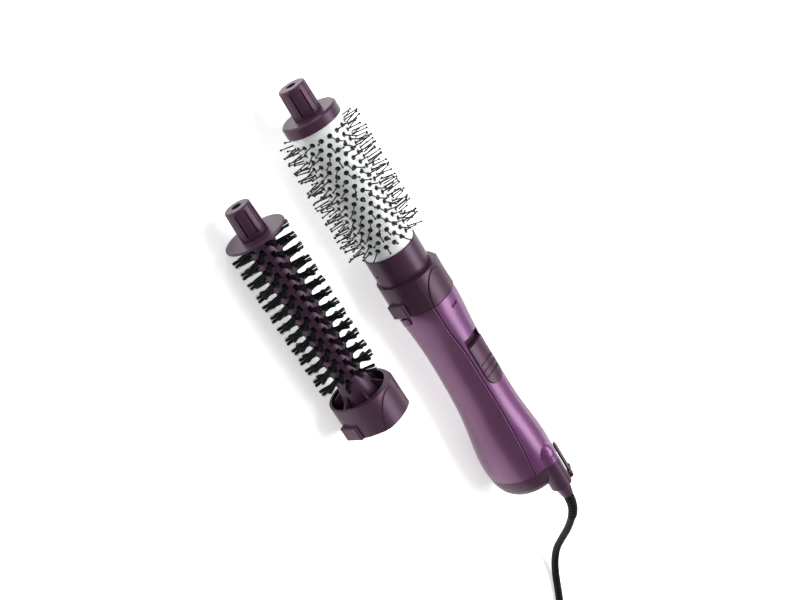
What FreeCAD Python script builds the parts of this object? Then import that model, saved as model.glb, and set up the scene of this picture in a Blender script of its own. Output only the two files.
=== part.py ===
import FreeCAD, Part
import math
import os

# Hot air brush with its fitted thermal head, a loose bristle head and its mains cord.
# The row's frame: +Z up, Z = 0 the table, both axes of the heads along X, tips towards -X.
# Pieces are drawn about the brush's own axis, with X = 0 at the seam between head and
# handle, and moved to the table when they are saved.

V = FreeCAD.Vector
AXIS_X = V(1, 0, 0)
AXIS_Y = V(0, 1, 0)
AXIS_Z = V(0, 0, 1)

# ---- heads: sizes along the axis ------------------------------------------------------
head_length = 178.0          # tip of the knob to the seam, both heads
knob_length = 21.6
cap_length = 8.1
sleeve_length = 21.8         # the stretch of the sleeve that stands in front of the collar
collar_length = 24.6
seam_gap = 0.3               # from the seam to the piece on each side of it

# ---- heads: sizes across the axis -----------------------------------------------------
barrel_radius = 19.0
barrel_wall = 0.8
sleeve_radius = 20.2
cap_radius = 20.2
knob_radius = 10.2
knob_tip_radius = 9.8
knob_hole = 3.5
spigot_radius = 17.6
spigot_length = 11.5         # how far it stands out of the handle
running_gap = 0.06           # radial clearance of the head on the spigot
seat_gap = 0.05              # radial clearance of pieces of one body that nest
collar_radius = 22.0
collar_edge_y = 15.4         # the two edges of the collar's crowned front
collar_edge_z = 20.2
collar_crest = 24.9
pad_rise = 0.8               # the thumb pad stands this much above the collar's front
web_thickness = 1.6
tab_reach = 24.2             # the catch's block stands out to here
tab_height = 14.0
tab_length = 10.7

# ---- thermal head's holes and pins ----------------------------------------------------
hole_rows = 17
holes_per_row = 18
hole_radius = 1.8
first_row_x = -141.0
last_row_x = -54.0
pin_reach = 30.0             # radius of the circle of pin tips
pin_radius = 0.42
pin_ball = 0.78
pin_lean = 9.0               # greatest lean of a pin, in degrees
comb_count = 6
comb_thickness = 0.9

# ---- bristle head ---------------------------------------------------------------------
core_radius = 9.8
core_wall = 1.3
bristle_reach = 22.5
bristle_rows = 10
tufts_per_row = 13
tuft_pitch = 9.0
tuft_size = 3.0              # along X, at the root
disc_radius = 21.5
disc_thickness = 1.8
carrier_radius = 5.4
gusset_count = 6

# ---- handle: each station is x, half width, depth below the axis, the strip's edge
# (y and z), the crest's height and the slope of the shoulder beside the strip
band_seam_x = 159.0
cap_seam_x = 168.5
butt_x = 177.0
stations = [
    (0.0, 21.8, 21.8, 14.2, 21.0, 25.5, -2.0),
    (17.0, 20.2, 20.0, 13.6, 21.3, 25.4, -2.0),
    (41.0, 18.9, 18.7, 11.0, 21.4, 24.4, -1.9),
    (70.0, 19.2, 19.1, 10.7, 21.8, 24.6, -1.8),
    (95.0, 20.2, 20.8, 10.9, 22.2, 25.0, -1.6),
    (118.0, 22.6, 24.4, 12.4, 22.8, 26.6, -1.2),
    (137.0, 24.3, 28.4, 14.4, 23.2, 28.6, -0.95),
    (150.0, 24.6, 30.0, 15.3, 22.7, 29.0, -0.9),
    (band_seam_x, 24.3, 29.6, 15.6, 22.0, 28.6, -0.9),
]
butt_stations = [
    (band_seam_x, 24.3, 29.6, 15.6, 22.0, 28.6, -0.9),
    (164.0, 24.0, 28.9, 15.4, 21.5, 28.1, -0.9),
    (cap_seam_x, 23.1, 27.6, 14.9, 20.6, 26.9, -0.9),
    (173.0, 21.2, 24.9, 13.6, 18.8, 24.5, -0.9),
    (butt_x, 16.6, 19.4, 10.6, 14.6, 18.9, -0.9),
]
shell_wall = 2.4
cover_wall = 2.0
ledge_wall = 1.7             # the ledge under the cover's edges
ledge_reach = 1.6            # how far it reaches inwards from the strip's edge
groove = 0.35                # half of the gap between the cover and the rear shell

# ---- switch ---------------------------------------------------------------------------
window_x = 36.4
window_end_x = 79.6
window_half = 8.6
slide_travel = 6.0
slider_gap = 0.25
slider_proud = 1.3
rib_rise = 0.6
plate_top_z = 20.0
plate_thickness = 1.6

# ---- release button -------------------------------------------------------------------
button_x = 4.0
button_size = 5.6
button_top = 23.8
button_travel = 1.5
latch_z = -2.0

# ---- cord outlet, hanging loop, strain relief and cord --------------------------------
outlet_z = 24.6
outlet_radius = 8.6
outlet_end_x = 183.5
pad_start_x = 141.0          # the nose of the cover's arch over the outlet
pad_wall = 1.4
hood_end_x = 193.5
hood_radius = 6.4
relief_radius = 4.0
relief_end_radius = 3.4
relief_droop = 37.6          # degrees
relief_bend = 38.5           # radius of the drooping strain relief
cord_radius = 3.0
loop_x = 180.0
loop_y = 12.4
loop_z = 27.0
loop_tilt = 35.0             # degrees about X, so that the loop lies along the shoulder
loop_length = 27.0
loop_half = 3.6
loop_wire = 1.8
loop_pin_radius = 1.0

# ---- inside the handle ----------------------------------------------------------------
motor_x = 112.0
motor_length = 33.0
motor_radius = 14.0
shaft_radius = 1.15
impeller_x = 148.5
impeller_width = 9.0
impeller_radius = 15.5
heater_x = 14.0
heater_length = 84.0
heater_z = -2.5
heater_radius = 13.2

# ---- where the brush lies on the table ------------------------------------------------
rest_height = pin_reach
spare_spacing = 87.0         # between the two heads' axes
spare_rest = bristle_reach
spare_shift_x = 33.0         # the loose head's seam, from the brush's seam
middle_x = (hood_end_x - head_length) / 2
spare_side = bristle_reach if bristle_reach > tab_reach else tab_reach
main_y = (spare_spacing + spare_side - pin_reach) / 2
to_table = V(-middle_x, main_y, rest_height)
spare_place = V(spare_shift_x, -spare_spacing, spare_rest - rest_height)

os.makedirs("parts", exist_ok=True)


# ---- helpers --------------------------------------------------------------------------
def save(name, shape, place=V(0, 0, 0)):
    moved = shape.copy()
    moved.translate(to_table + place)
    moved.exportStep("parts/" + name + ".step")


def rod(x0, x1, radius, y=0.0, z=0.0):
    return Part.makeCylinder(radius, x1 - x0, V(x0, y, z), AXIS_X)


def tube(x0, x1, outer, inner, y=0.0, z=0.0):
    return rod(x0, x1, outer, y, z).cut(rod(x0 - 1, x1 + 1, inner, y, z))


def box(x0, x1, y0, y1, z0, z1):
    return Part.makeBox(x1 - x0, y1 - y0, z1 - z0, V(x0, y0, z0))


def cone(x0, x1, radius0, radius1, z=0.0):
    return Part.makeCone(radius0, radius1, x1 - x0, V(x0, 0, z), AXIS_X)


def turned(shape, degrees):
    copy = shape.copy()
    copy.rotate(V(0, 0, 0), AXIS_X, degrees)
    return copy


def curve(*poles):
    bezier = Part.BezierCurve()
    bezier.setPoles(list(poles))
    return bezier.toShape()


def outline(x, half, depth, edge_y, edge_z, crest, slope, inset=0.0):
    """The closed section across X: a round back, two shoulders and a crowned front."""
    round_off = 0.5523
    w = half - inset
    d = depth - inset
    ey = edge_y - 0.45 * inset
    ez = edge_z - inset
    top = crest - inset
    step = 0.4 * (w - ey)
    crown = (8 * top - 2 * ez) / 6
    bottom = V(x, 0, -d)
    left = V(x, -w, 0)
    right = V(x, w, 0)
    left_edge = V(x, -ey, ez)
    right_edge = V(x, ey, ez)
    return Part.Wire([
        curve(bottom, V(x, w * round_off, -d), V(x, w, -d * round_off), right),
        curve(right, V(x, w, 0.45 * ez), V(x, ey + step, ez + slope * step), right_edge),
        curve(right_edge, V(x, 0.45 * ey, crown), V(x, -0.45 * ey, crown), left_edge),
        curve(left_edge, V(x, -ey - step, ez + slope * step), V(x, -w, 0.45 * ez), left),
        curve(left, V(x, -w, -d * round_off), V(x, -w * round_off, -d), bottom),
    ])


def loft(rows, inset=0.0):
    return Part.makeLoft([outline(*row, inset=inset) for row in rows], True, False)


def strip(rows, inward, low=4.0, high=50.0):
    """A solid standing over the front strip, its sides a little inside the strip's edge."""
    right = [V(row[0], row[3] - inward, low) for row in rows]
    left = [V(row[0], -(row[3] - inward), low) for row in reversed(rows)]
    side_a = Part.BSplineCurve()
    side_a.interpolate(right)
    side_b = Part.BSplineCurve()
    side_b.interpolate(left)
    edges = [side_a.toShape(), Part.makeLine(right[-1], left[0]),
             side_b.toShape(), Part.makeLine(left[-1], right[0])]
    return Part.Face(Part.Wire(edges)).extrude(V(0, 0, high - low))


def ellipse_pad(x_end, length, half, low, high):
    """Half an ellipse in plan, its flat side across X at x_end."""
    step = 0.5523
    edges = [
        curve(V(x_end, -half, low), V(x_end - length * step, -half, low),
              V(x_end - length, -half * step, low), V(x_end - length, 0, low)),
        curve(V(x_end - length, 0, low), V(x_end - length, half * step, low),
              V(x_end - length * step, half, low), V(x_end, half, low)),
        Part.makeLine(V(x_end, half, low), V(x_end, -half, low)),
    ]
    return Part.Face(Part.Wire(edges)).extrude(V(0, 0, high - low))


def rounded_slot(x0, x1, half, low, high):
    """A window with a straight end at x0 and a half-round end at x1."""
    centre = x1 - half
    edges = [
        Part.makeLine(V(x0, half, low), V(x0, -half, low)),
        Part.makeLine(V(x0, -half, low), V(centre, -half, low)),
        Part.Arc(V(centre, -half, low), V(x1, 0, low), V(centre, half, low)).toShape(),
        Part.makeLine(V(centre, half, low), V(x0, half, low)),
    ]
    return Part.Face(Part.Wire(edges)).extrude(V(0, 0, high - low))


def bullet(nose_x, end_x, radius, z):
    """A rod along X with a rounded nose half as long again as its radius."""
    nose = 1.5 * radius
    arc = Part.Arc(V(nose_x, 0, 0), V(nose_x + 0.293 * nose, 0, 0.707 * radius),
                   V(nose_x + nose, 0, radius)).toShape()
    corners = [V(nose_x + nose, 0, radius), V(end_x, 0, radius), V(end_x, 0, 0), V(nose_x, 0, 0)]
    profile = Part.Wire([arc, Part.makePolygon(corners)])
    shape = Part.Face(profile).revolve(V(0, 0, 0), AXIS_X, 360)
    shape.translate(V(0, 0, z))
    return shape


# ---- pieces that both heads have ------------------------------------------------------
collar_front = -collar_length
collar_back = -seam_gap
cup_radius = sleeve_radius + seat_gap
web_back = -spigot_length - 0.5
web_front = web_back - web_thickness
socket_radius = spigot_radius + running_gap
pocket_depth = 4.5


def make_collar():
    row = (collar_radius, collar_radius, collar_edge_y, collar_edge_z, collar_crest, -2.0)
    body = loft([(collar_front,) + row, (collar_back,) + row])
    raised = loft([(collar_front,) + row, (collar_back,) + row], -pad_rise)
    pad = ellipse_pad(collar_back, collar_length - 2.3, 13.7, 10.0, 40.0).common(raised)
    tab_z = latch_z - 0.5
    tab = box(collar_back - tab_length, collar_back, -tab_reach, -collar_radius + 3,
              tab_z - tab_height / 2, tab_z + tab_height / 2)
    tab = tab.makeFillet(1.2, [edge for edge in tab.Edges
                               if edge.BoundBox.YMax < -tab_reach + 0.1])
    body = body.fuse([pad, tab])
    body = body.cut(rod(collar_front - 1, web_front, cup_radius))
    body = body.cut(rod(web_front - 1, 1, 14.0))
    body = body.cut(rod(web_back, 1, socket_radius))
    pocket = box(-pocket_depth, 1, -21.2, -16.5, latch_z - 2.7, latch_z + 2.7)
    return body.cut(pocket).removeSplitter()


def make_knob(front_radius, back_radius, x_front, x_back):
    knob = cone(x_front, x_back, front_radius, back_radius)
    rim = [edge for edge in knob.Edges if abs(edge.BoundBox.XMax - x_front) < 0.01]
    knob = knob.makeFillet(1.2, rim)
    groove_box = box(x_front + 2.6, x_back - 1.8, -0.55, 0.55, front_radius - 0.9, 14.0)
    grooves = [turned(groove_box, 45.0 * i + 22.5) for i in range(8)]
    knob = knob.cut(grooves)
    return knob.cut(rod(x_front - 1, x_front + 10.0, knob_hole))


# ---- thermal head ---------------------------------------------------------------------
tip_x = -head_length
cap_front = tip_x + knob_length
cap_back = cap_front + cap_length
sleeve_front = collar_front - sleeve_length
barrel_inner = barrel_radius - barrel_wall
comb_outer = barrel_inner - seat_gap
comb_inner = comb_outer - comb_thickness
row_pitch = (last_row_x - first_row_x) / (hole_rows - 1)
hole_step = 360.0 / holes_per_row
comb_columns = holes_per_row // comb_count


def hole_angle(row, column):
    """Degrees round the axis from +Y, with every other row half a step on."""
    return hole_step * (column + 0.5 * (row % 2))


def around(degrees, radius, x=0.0):
    angle = math.radians(degrees)
    return V(x, radius * math.cos(angle), radius * math.sin(angle))


def make_barrel():
    barrel = tube(cap_back, web_front - 0.4, barrel_radius, barrel_inner)
    drills = []
    for row in range(hole_rows):
        x = first_row_x + row * row_pitch
        for column in range(holes_per_row // 2):
            start = around(hole_angle(row, column) + 180, barrel_radius + 2, x)
            end = around(hole_angle(row, column), 1.0)
            drills.append(Part.makeCylinder(hole_radius, 2 * barrel_radius + 4, start, end))
    return barrel.cut(drills)


def make_pin(row, column):
    """One pin, leaning a little its own way, its tip on the circle of tips."""
    count = row * holes_per_row + column
    angle = hole_angle(row, column)
    x = first_row_x + row * row_pitch
    root = around(angle, comb_inner + 0.4, x)
    lean_x = math.tan(math.radians(pin_lean * math.sin(2.4 * count)))
    lean_side = pin_lean * math.cos(1.7 * count) * 0.33
    rise = pin_reach - pin_ball - comb_inner
    tip = around(angle + lean_side, pin_reach - pin_ball, x + rise * lean_x)
    reach = (tip - root).Length
    neck = reach - math.sqrt(pin_ball ** 2 - pin_radius ** 2)
    profile = Part.Wire([
        Part.makeLine(V(0, 0, 0), V(pin_radius, 0, 0)),
        Part.makeLine(V(pin_radius, 0, 0), V(pin_radius, 0, neck)),
        Part.Arc(V(pin_radius, 0, neck), V(pin_ball, 0, reach),
                 V(0, 0, reach + pin_ball)).toShape(),
        Part.makeLine(V(0, 0, reach + pin_ball), V(0, 0, 0)),
    ])
    pin = Part.Face(profile).revolve(V(0, 0, 0), AXIS_Z, 360)
    pin.Placement = FreeCAD.Placement(root, FreeCAD.Rotation(AXIS_Z, tip - root))
    return pin


def make_comb(index):
    """A curved strip inside the barrel with three columns of pins."""
    centre = hole_step * (index * comb_columns + (comb_columns - 1) / 2 + 0.25)
    half = hole_step * comb_columns / 2 - 1.0
    strip_front = cap_back + 3.0
    strip_back = sleeve_front + 6.0
    ring = Part.makeCylinder(comb_outer, strip_back - strip_front, V(strip_front, 0, 0),
                             AXIS_X, 2 * half)
    hollow = rod(strip_front - 1, strip_back + 1, comb_inner)
    backing = ring.cut(hollow).Solids[0]
    # a cylinder about X starts its sweep on -Z, which is 90 degrees before +Y
    start = backing.CenterOfMass
    turn = centre - math.degrees(math.atan2(start.z, start.y))
    backing = turned(backing, turn)
    pins = []
    for row in range(hole_rows):
        for column in range(comb_columns):
            pins.append(make_pin(row, index * comb_columns + column))
    return backing.fuse(pins)


def make_barrel_core():
    core = tube(cap_back + 3.0, web_front - 0.4, 6.0, 4.8)
    fin = box(cap_back + 3.0, web_front - 0.4, 5.5, comb_inner - 0.1, -0.6, 0.6)
    fins = []
    for i in range(comb_count):
        centre = hole_step * (i * comb_columns + (comb_columns - 1) / 2 + 0.25)
        fins.append(turned(fin, centre))
    ring = tube(web_front - 8.0, web_front - 0.4, barrel_inner - 0.1, barrel_inner - 1.4)
    return core.fuse(fins + [ring])


save("lock_collar", make_collar())
save("barrel", make_barrel())
sleeve = tube(sleeve_front, web_front - 0.1, sleeve_radius, barrel_radius + seat_gap)
sleeve_rim = [edge for edge in sleeve.Edges
              if edge.BoundBox.XMax < sleeve_front + 0.01 and edge.Curve.Radius > barrel_radius + 0.5]
sleeve = sleeve.makeFillet(0.45, sleeve_rim)
rivet = Part.makeSphere(1.2, around(198.0, sleeve_radius - 0.5, sleeve_front + 12.0))
save("barrel_sleeve", sleeve.fuse(rivet.cut(rod(sleeve_front, collar_front, barrel_radius + 0.3))))
for i in range(comb_count):
    save("pin_comb_%d" % (i + 1), make_comb(i))
save("barrel_core", make_barrel_core())
end_cap = rod(cap_front, cap_back, cap_radius)
cap_edge = [edge for edge in end_cap.Edges if edge.BoundBox.XMax < cap_front + 0.01]
end_cap = end_cap.makeChamfer(1.3, cap_edge)
end_cap = end_cap.fuse(rod(cap_back - 1, cap_back + 2.6, barrel_inner - seat_gap))
end_cap = end_cap.cut(rod(cap_front - 1, cap_back + 5, 1.7))
save("end_cap", end_cap)
knob = make_knob(knob_tip_radius, knob_radius, tip_x, cap_front - 0.05)
save("tip_knob", knob.cut(rod(tip_x, cap_front, 1.7)))
screw_seat = tip_x + 10.0
tip_screw = rod(screw_seat - 1.8, screw_seat, 2.6).fuse(rod(screw_seat - 1, cap_back + 2, 1.6))
save("tip_screw", tip_screw.cut(box(screw_seat - 3, screw_seat - 1, -0.4, 0.4, -3, 3)))

# ---- bristle head ---------------------------------------------------------------------
core_front = cap_front + disc_thickness
core_inner = core_radius - core_wall
first_tuft_x = core_front + 6.5
last_tuft_x = first_tuft_x + (tufts_per_row - 1) * tuft_pitch
core_flare_x = last_tuft_x + 6.0
row_step = 360.0 / bristle_rows


def tuft_x(row, tuft):
    """Tufts stand in staggered rows, odd rows half a pitch nearer the tip."""
    return first_tuft_x + tuft * tuft_pitch - (row % 2) * tuft_pitch / 2 + tuft_pitch / 4


def make_core():
    core = tube(core_front, core_flare_x, core_radius, core_inner)
    flare = cone(core_flare_x - 2.0, web_front, core_radius, 14.6)
    hollow = cone(core_flare_x - 2.1, web_front + 0.3, core_inner, 13.2)
    pockets = []
    for row in range(bristle_rows):
        for tuft in range(tufts_per_row):
            x = tuft_x(row, tuft)
            half = tuft_size / 2 + 0.5
            pocket = box(x - half, x + half, core_inner - 1.2, core_radius + 1, -1.5, 1.5)
            pockets.append(turned(pocket, row * row_step))
    core = core.cut(pockets).fuse(flare.cut(hollow))
    ledge = cone(-0.8, 0.8, core_radius + 0.9, core_radius - 0.1)
    ledge = ledge.cut(rod(-2, 2, core_radius - 0.2)).common(box(-2, 2, 0, 20, -2.6, 2.6))
    ledges = []
    for row in range(bristle_rows):
        for tuft in range(tufts_per_row):
            step = turned(ledge, row * row_step)
            step.translate(V(tuft_x(row, tuft) + tuft_size / 2 + 1.4, 0, 0))
            ledges.append(step)
    core = core.fuse(ledges)
    gussets = []
    wedge_height = cup_radius - 0.4
    corner = Part.makePolygon([V(web_front - 0.1, 0, 9.0), V(core_flare_x + 4.0, 0, 9.0),
                               V(web_front - 9.5, 0, wedge_height),
                               V(web_front - 0.1, 0, wedge_height), V(web_front - 0.1, 0, 9.0)])
    gusset = Part.Face(corner).extrude(V(0, 1.4, 0))
    gusset.translate(V(0, -0.7, 0))
    for i in range(gusset_count):
        gussets.append(turned(gusset, 360.0 / gusset_count * i + 30.0))
    return core.fuse(gussets).cut(hollow)


def make_bristle_row(row):
    backing = box(first_tuft_x - 4.0, last_tuft_x + 5.0, core_inner - 2.2, core_inner - 1.3,
                  -1.2, 1.2)
    tufts = []
    for tuft in range(tufts_per_row):
        x = tuft_x(row, tuft)
        root = tuft_size / 2
        tip = root + 0.7
        base = core_inner - 1.5
        rim = [V(x - root, base, -0.7), V(x + root, base, -0.7),
               V(x + tip, bristle_reach - 0.05, -0.7), V(x - tip, bristle_reach - 0.05, -0.7)]
        face = Part.Face(Part.makePolygon(rim + [rim[0]]))
        tufts.append(face.extrude(V(0, 0, 1.4)))
    return turned(backing.fuse(tufts), row * row_step)


save("spare_collar", make_collar(), spare_place)
save("spare_core", make_core(), spare_place)
for i in range(bristle_rows):
    save("bristle_row_%d" % (i + 1), make_bristle_row(i), spare_place)
disc = rod(cap_front, core_front - 0.05, disc_radius)
disc = disc.makeFillet(0.6, disc.Edges[0:1] + disc.Edges[2:3])
disc = disc.cut(rod(cap_front - 1, core_front + 1, carrier_radius + 0.1))
save("spare_disc", disc, spare_place)
spare_knob = make_knob(9.0, 9.6, tip_x, cap_front - 0.3)
save("spare_knob", spare_knob, spare_place)
carrier = tube(cap_front - 0.3, core_flare_x + 6.0, carrier_radius, 3.6)
save("bristle_carrier", carrier, spare_place)

# ---- handle: shells -------------------------------------------------------------------
whole = loft(stations)
under_cover = loft(stations, cover_wall)
ledge_top = loft(stations, cover_wall + 0.1)
hollow = loft(stations, shell_wall)
ledge_under = loft(stations, cover_wall + 0.1 + ledge_wall)
screw_places = [11.0, 103.5]
screw_radius = 1.4
boss_radius = 2.7
boss_split_z = 1.0

front_end = box(-5, seam_gap, -40, 40, -40, 40)
shell = whole.cut(hollow).cut(strip(stations, -groove))
ledge_zone = strip(stations, -1.2).cut(strip(stations, ledge_reach))
shell = shell.fuse(ledge_top.cut(ledge_under).common(ledge_zone))
for x in screw_places:
    post = Part.makeCylinder(boss_radius, 30 + boss_split_z - 0.1, V(x, 0, -30), AXIS_Z)
    shell = shell.fuse(post.common(whole))
    shell = shell.cut(Part.makeCylinder(screw_radius + 0.05, 60, V(x, 0, -35), AXIS_Z))
button_hole = box(-1, button_x + button_size / 2 + 0.3, -40, -17, latch_z - 3.1, latch_z + 3.1)
screw_heads = []
for x in screw_places:
    floor_z = -stations[1][2] + 3.4 if x < 50 else -stations[4][2] + 2.6
    shell = shell.cut(Part.makeCylinder(2.6, 20, V(x, 0, floor_z - 20), AXIS_Z))
    screw_heads.append(floor_z)
rear_shell = shell.cut([front_end, button_hole])
rear_shell = rear_shell.cut(rod(pad_start_x, band_seam_x + 1, outlet_radius + 0.1, 0, outlet_z))
save("rear_shell", rear_shell)

screws = []
for x, head_z in zip(screw_places, screw_heads):
    head = Part.makeCylinder(2.4, 1.8, V(x, 0, head_z - 1.8), AXIS_Z)
    shank = Part.makeCylinder(screw_radius, 12.0 - head_z, V(x, 0, head_z - 0.5), AXIS_Z)
    slot = box(x - 2.2, x + 2.2, -0.35, 0.35, head_z - 3, head_z - 1.0)
    screws.append(head.fuse(shank).cut(slot))
save("shell_screws", Part.makeCompound(screws))

cover = whole.common(strip(stations, groove)).cut(under_cover)
pad_outer = bullet(pad_start_x, band_seam_x - 0.05, outlet_radius, outlet_z)
pad_inner = bullet(pad_start_x + pad_wall, band_seam_x, outlet_radius - pad_wall, outlet_z)
arch = pad_outer.cut(under_cover.common(strip(stations, groove)))
arch = arch.common(strip(stations, groove)).common(box(100, 200, -30, 30, 20, 40))
cover = cover.fuse(arch).cut(pad_inner)
window = rounded_slot(window_x, window_end_x, window_half, 10, 40)
cover = cover.cut(window)
for x in screw_places:
    post = Part.makeCylinder(boss_radius, 30 - boss_split_z, V(x, 0, boss_split_z), AXIS_Z)
    cover = cover.fuse(post.common(whole))
    bore_top = 12.5
    cover = cover.cut(Part.makeCylinder(screw_radius + 0.05, bore_top, V(x, 0, 0), AXIS_Z))
mark_x = 8.8
mark = box(mark_x - 0.9, mark_x + 0.9, -3.4, 3.4, 24.3, 30)
cover = cover.cut([front_end, mark])
save("front_cover", cover)

# ---- handle: plum end pieces ----------------------------------------------------------
butt = loft(butt_stations)
butt_hollow = loft(butt_stations, shell_wall)
outlet_hole = rod(100, 200, outlet_radius + seat_gap, 0, outlet_z)
band_slab = box(band_seam_x + 0.15, cap_seam_x - 0.15, -40, 40, -40, 40)
band = butt.cut(butt_hollow).common(band_slab).cut(outlet_hole)
save("end_band", band)

cap_slab = box(cap_seam_x + 0.15, butt_x + 1, -40, 40, -40, 40)
grille_back = butt_x - 2.2
grille_room = butt_hollow.common(box(100, grille_back, -40, 40, -40, 40))
grille = butt.common(cap_slab).cut(grille_room).cut(outlet_hole)
slots = []
for i in range(7):
    z = -14.0 + 4.0 * i
    reach = math.sqrt(14.5 ** 2 - (z + 2.0) ** 2)
    slots.append(box(butt_x - 8, butt_x + 2, -reach, -1.2, z - 1.1, z + 1.1))
    slots.append(box(butt_x - 8, butt_x + 2, 1.2, reach, z - 1.1, z + 1.1))
grille = grille.cut(slots)
# the skirt is straight, so that it slides out of the band, whose bore narrows to the seam
seam_section = butt_stations[2][1:]
skirt_ends = [(cap_seam_x - 4.0,) + seam_section, (cap_seam_x + 2.0,) + seam_section]
skirt = loft(skirt_ends, shell_wall + 0.1).cut(loft(skirt_ends, shell_wall + 1.4))
skirt = skirt.common(box(cap_seam_x - 4.0, cap_seam_x + 2.0, -40, 40, -40, 12.0))
rim = loft(butt_stations, shell_wall - 0.4).cut(loft(butt_stations, shell_wall + 1.4))
rim = rim.common(box(cap_seam_x + 0.3, cap_seam_x + 2.0, -40, 40, -40, 12.0))
grille = grille.fuse([skirt, rim])
save("inlet_grille", grille)
filter_disc = rod(cap_seam_x + 0.4, cap_seam_x + 1.0, 15.2, 0, -1.0)
save("inlet_filter", filter_disc)

outlet = tube(band_seam_x + 0.15, outlet_end_x, outlet_radius, outlet_radius - 1.8, 0, outlet_z)
outlet_wall = rod(outlet_end_x - 2.0, outlet_end_x, outlet_radius, 0, outlet_z)
outlet = outlet.fuse(outlet_wall)
outlet = outlet.makeChamfer(0.9, [edge for edge in outlet.Edges
                                  if edge.BoundBox.XMin > outlet_end_x - 0.1])
tilt = math.radians(loop_tilt)
loop_along = V(0, math.cos(tilt), -math.sin(tilt))
loop_up = V(0, math.sin(tilt), math.cos(tilt))
loop_centre = V(loop_x, loop_y, loop_z)
pin_start = loop_centre - loop_along * (loop_half + 4.0)
pin_length = 2 * loop_half + 5.2
loop_pin = Part.makeCylinder(loop_pin_radius, pin_length, pin_start, loop_along)
pin_head = Part.makeCylinder(1.7, 0.8, pin_start + loop_along * pin_length, loop_along)
pin_boss = Part.makeCylinder(2.3, 3.6, pin_start, loop_along)
outlet = outlet.fuse([loop_pin, pin_boss, pin_head]).cut(rod(band_seam_x, outlet_end_x - 2.0,
                                                            outlet_radius - 1.8, 0, outlet_z))
save("cord_outlet", outlet)
hood = cone(outlet_end_x + 0.05, hood_end_x, hood_radius, relief_radius + 0.4, outlet_z)
save("guard_hood", hood)


def make_hanging_loop():
    """A slim closed loop with an eye, drawn flat and then laid along the shoulder."""
    eye = Part.makeCylinder(loop_wire, 2 * loop_half, V(0, -loop_half, 0), AXIS_Y)
    bar_x = -loop_length + loop_half
    side = box(bar_x, 0, loop_half - loop_wire, loop_half, -loop_wire / 2, loop_wire / 2)
    other = side.mirror(V(0, 0, 0), AXIS_Y)
    bend = Part.makeCylinder(loop_half, loop_wire, V(bar_x, 0, -loop_wire / 2), AXIS_Z)
    bend = bend.cut(Part.makeCylinder(loop_half - loop_wire, 4, V(bar_x, 0, -2), AXIS_Z))
    bend = bend.common(box(bar_x - 10, bar_x, -10, 10, -5, 5))
    ring = eye.fuse([side, other, bend])
    ring = ring.cut(Part.makeCylinder(loop_pin_radius + 0.05, 20, V(0, -10, 0), AXIS_Y))
    ring.rotate(V(0, 0, 0), AXIS_X, -loop_tilt)
    ring.translate(loop_centre)
    return ring


save("hanging_loop", make_hanging_loop())

# ---- switch ---------------------------------------------------------------------------
plate = box(window_x - 4, window_end_x + 4, -9.0, 9.0, plate_top_z - plate_thickness, plate_top_z)
post_x = 58.0
post_size = 3.0
post_slot = box(post_x - post_size / 2 - slide_travel - 0.3, post_x + post_size / 2 + 0.3,
                -post_size / 2 - 0.3, post_size / 2 + 0.3, 0, 30)
plate = plate.common(under_cover).cut(post_slot)
save("switch_plate", plate)
slider_x = window_x + slide_travel + 0.35
proud = loft(stations, -slider_proud)
ribbed = loft(stations, -slider_proud - rib_rise)
slider_outline = rounded_slot(slider_x, window_end_x - slider_gap, window_half - slider_gap,
                              plate_top_z + 0.3, 40)
slider = slider_outline.common(proud)
ribs = []
for x in (59.6, 64.7, 69.8):
    rib = box(x - 0.6, x + 0.6, -window_half + 1.4, window_half - 1.4, plate_top_z + 1, 40)
    ribs.append(rib.common(ribbed))
slider = slider.fuse(ribs)
switch_top = 16.0
post = box(post_x - post_size / 2, post_x + post_size / 2, -post_size / 2, post_size / 2,
           switch_top + 0.3, plate_top_z + 1)
save("switch_slider", slider.fuse(post))
switch_end_x = 72.0
save("switch_block", box(46.0, switch_end_x, -6.5, 6.5, 11.4, switch_top))

# ---- outlet spigot and release button -------------------------------------------------
spigot = tube(-spigot_length, 3.0, spigot_radius, spigot_radius - 1.8)
spigot_tail = tube(2.0, 8.0, 14.6, 13.2)
flange_slab = box(seam_gap + 0.3, 3.0, -40, 40, -40, 40)
flange = ledge_under.common(flange_slab).cut(rod(-1, 5, spigot_radius - 1.8))
inner_flange = tube(seam_gap + 0.3, 3.0, 16.5, 13.2)
notch = box(-seam_gap, 4, -30, -15.0, latch_z - 4.4, latch_z + 4.4)
spigot = spigot.fuse([flange, inner_flange, spigot_tail]).cut(notch)
save("outlet_spigot", spigot)
half_button = button_size / 2
button = box(button_x - half_button, button_x + half_button, -button_top, -16.8,
             latch_z - half_button, latch_z + half_button)
button = button.makeFillet(0.9, [edge for edge in button.Edges
                                 if edge.BoundBox.YMax < -button_top + 0.1])
stop = box(button_x - half_button, button_x + half_button + 0.8, -17.6, -16.8,
           latch_z - 3.6, latch_z + 3.6)
finger = box(-3.4, button_x, -20.6, -19.2, latch_z - 2.2, latch_z + 2.2)
button = button.fuse([stop, finger])
spring_bore = Part.makeCylinder(1.7, 4.0, V(button_x, -20.6, latch_z), AXIS_Y)
save("release_button", button.cut(spring_bore))
spring_seat = -15.0
spring_turns = 4.0
spring_top = -20.6 + button_travel + 0.1
helix = Part.makeHelix((spring_seat - spring_top - 0.7) / spring_turns,
                       spring_seat - spring_top - 0.7, 1.2)
spring_wire = Part.Wire([Part.makeCircle(0.25, V(1.2, 0, 0), AXIS_Y)])
spring = Part.Wire(helix).makePipeShell([spring_wire], True, True)
spring.rotate(V(0, 0, 0), AXIS_X, -90)
spring.translate(V(button_x, spring_top + 0.3, latch_z))
save("release_spring", spring)

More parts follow.
